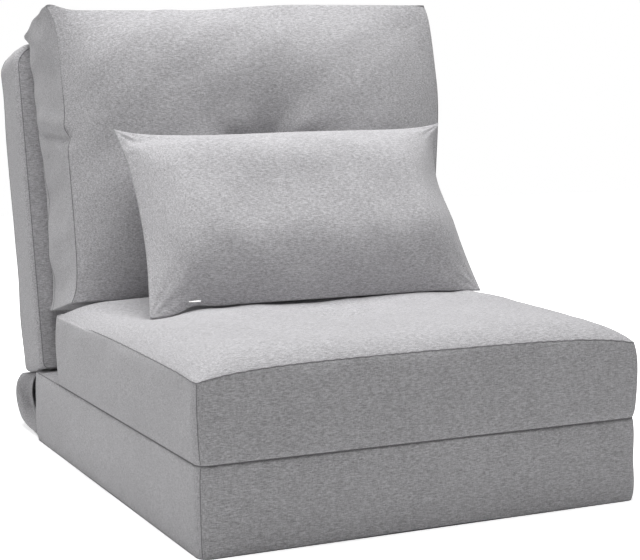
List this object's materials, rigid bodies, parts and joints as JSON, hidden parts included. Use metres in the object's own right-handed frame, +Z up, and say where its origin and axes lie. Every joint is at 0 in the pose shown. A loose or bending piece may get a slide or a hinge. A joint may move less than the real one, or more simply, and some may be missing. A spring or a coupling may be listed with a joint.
{
  "type": "convertible chair bed",
  "caption": "Low upholstered chair bed: a folded base and seat mattress, a reclining backrest, a tufted back cushion and a lumbar pillow.",
  "frame": {"origin": "centre of the base's footprint on the floor, under the middle of the base mattress", "axes": "+Z up, +Y from the front of the chair to its back, +X to the sitter's left, which is the right of the picture"},
  "size_m": [0.709, 1.0072, 0.7416],
  "materials": {
    "upholstery": "woven linen-look cloth, light heathered grey",
    "lining": "thin non-woven cloth, dark",
    "foam": null,
    "fibre_fill": "polyester fibre filling",
    "frame_steel": "black powder coat",
    "zinc_steel": "zinc plated",
    "webbing": "woven elastic",
    "twine": "waxed twine",
    "zip_tape": "woven zip tape",
    "zip_teeth": "nylon coil",
    "zip_metal": "painted zinc"
  },
  "bodies": {
    "base": {"base_cover": "upholstery", "base_foam": "foam", "base_lining": "lining", "base_frame_tube": "frame_steel", "base_cross_tube": "frame_steel", "base_plate_screws": "zinc_steel", "left_hinge_plate": "zinc_steel", "right_hinge_plate": "zinc_steel", "pivot_rivets": "zinc_steel", "front_hinge_strip": "upholstery", "rear_gusset": "upholstery"},
    "seat": {"seat_cover": "upholstery", "seat_foam": "foam", "seat_tuft_tie": "twine"},
    "backrest": {"back_cover": "upholstery", "back_foam": "foam", "back_frame_tube": "frame_steel", "back_cross_tubes": "frame_steel", "back_straps": "webbing", "back_arm_screws": "zinc_steel", "left_hinge_arm": "zinc_steel", "right_hinge_arm": "zinc_steel"},
    "back_cushion": {"cushion_cover": "upholstery", "cushion_fill": "fibre_fill", "cushion_tuft_tie": "twine"},
    "lumbar_pillow": {"pillow_cover": "upholstery", "pillow_fill": "fibre_fill", "pillow_zip_tape": "zip_tape", "pillow_zip_chain": "zip_teeth"},
    "zip_slider": {"zip_slider": "zip_metal"},
    "zip_pull": {"zip_pull": "zip_metal"}
  },
  "joints": [
    {"name": "seat_fold", "type": "hinge", "parent": "base", "child": "seat", "pos_m": [0, -0.4123, 0.11865], "axis": [1, 0, 0], "range_deg": [0, 180]},
    {"name": "backrest_recline", "type": "hinge", "parent": "base", "child": "backrest", "pos_m": [0, 0.416, 0.057], "axis": [1, 0, 0], "range_deg": [-78, 0], "deforming": ["rear_gusset"]},
    {"name": "cushion_carry", "type": "hinge", "parent": "seat", "child": "back_cushion", "pos_m": [0, 0.354, 0.22857], "axis": [1, 0, 0], "range_deg": [-180, 0]},
    {"name": "pillow_lift", "type": "slide", "parent": "back_cushion", "child": "lumbar_pillow", "axis": [0, 0, 1], "range_m": [0, 0.3]},
    {"name": "zip_slide", "type": "slide", "parent": "lumbar_pillow", "child": "zip_slider", "axis": [1, 0, 0], "range_m": [0, 0.456]},
    {"name": "zip_pull_swing", "type": "hinge", "parent": "zip_slider", "child": "zip_pull", "pos_m": [-0.187, 0.01485, 0.27363], "axis": [0, -0.5736, -0.8192], "range_deg": [0, 165]}
  ],
  "couplings": [
    {"joint": "cushion_carry", "follows": "seat_fold", "ratio": -1}
  ]
}
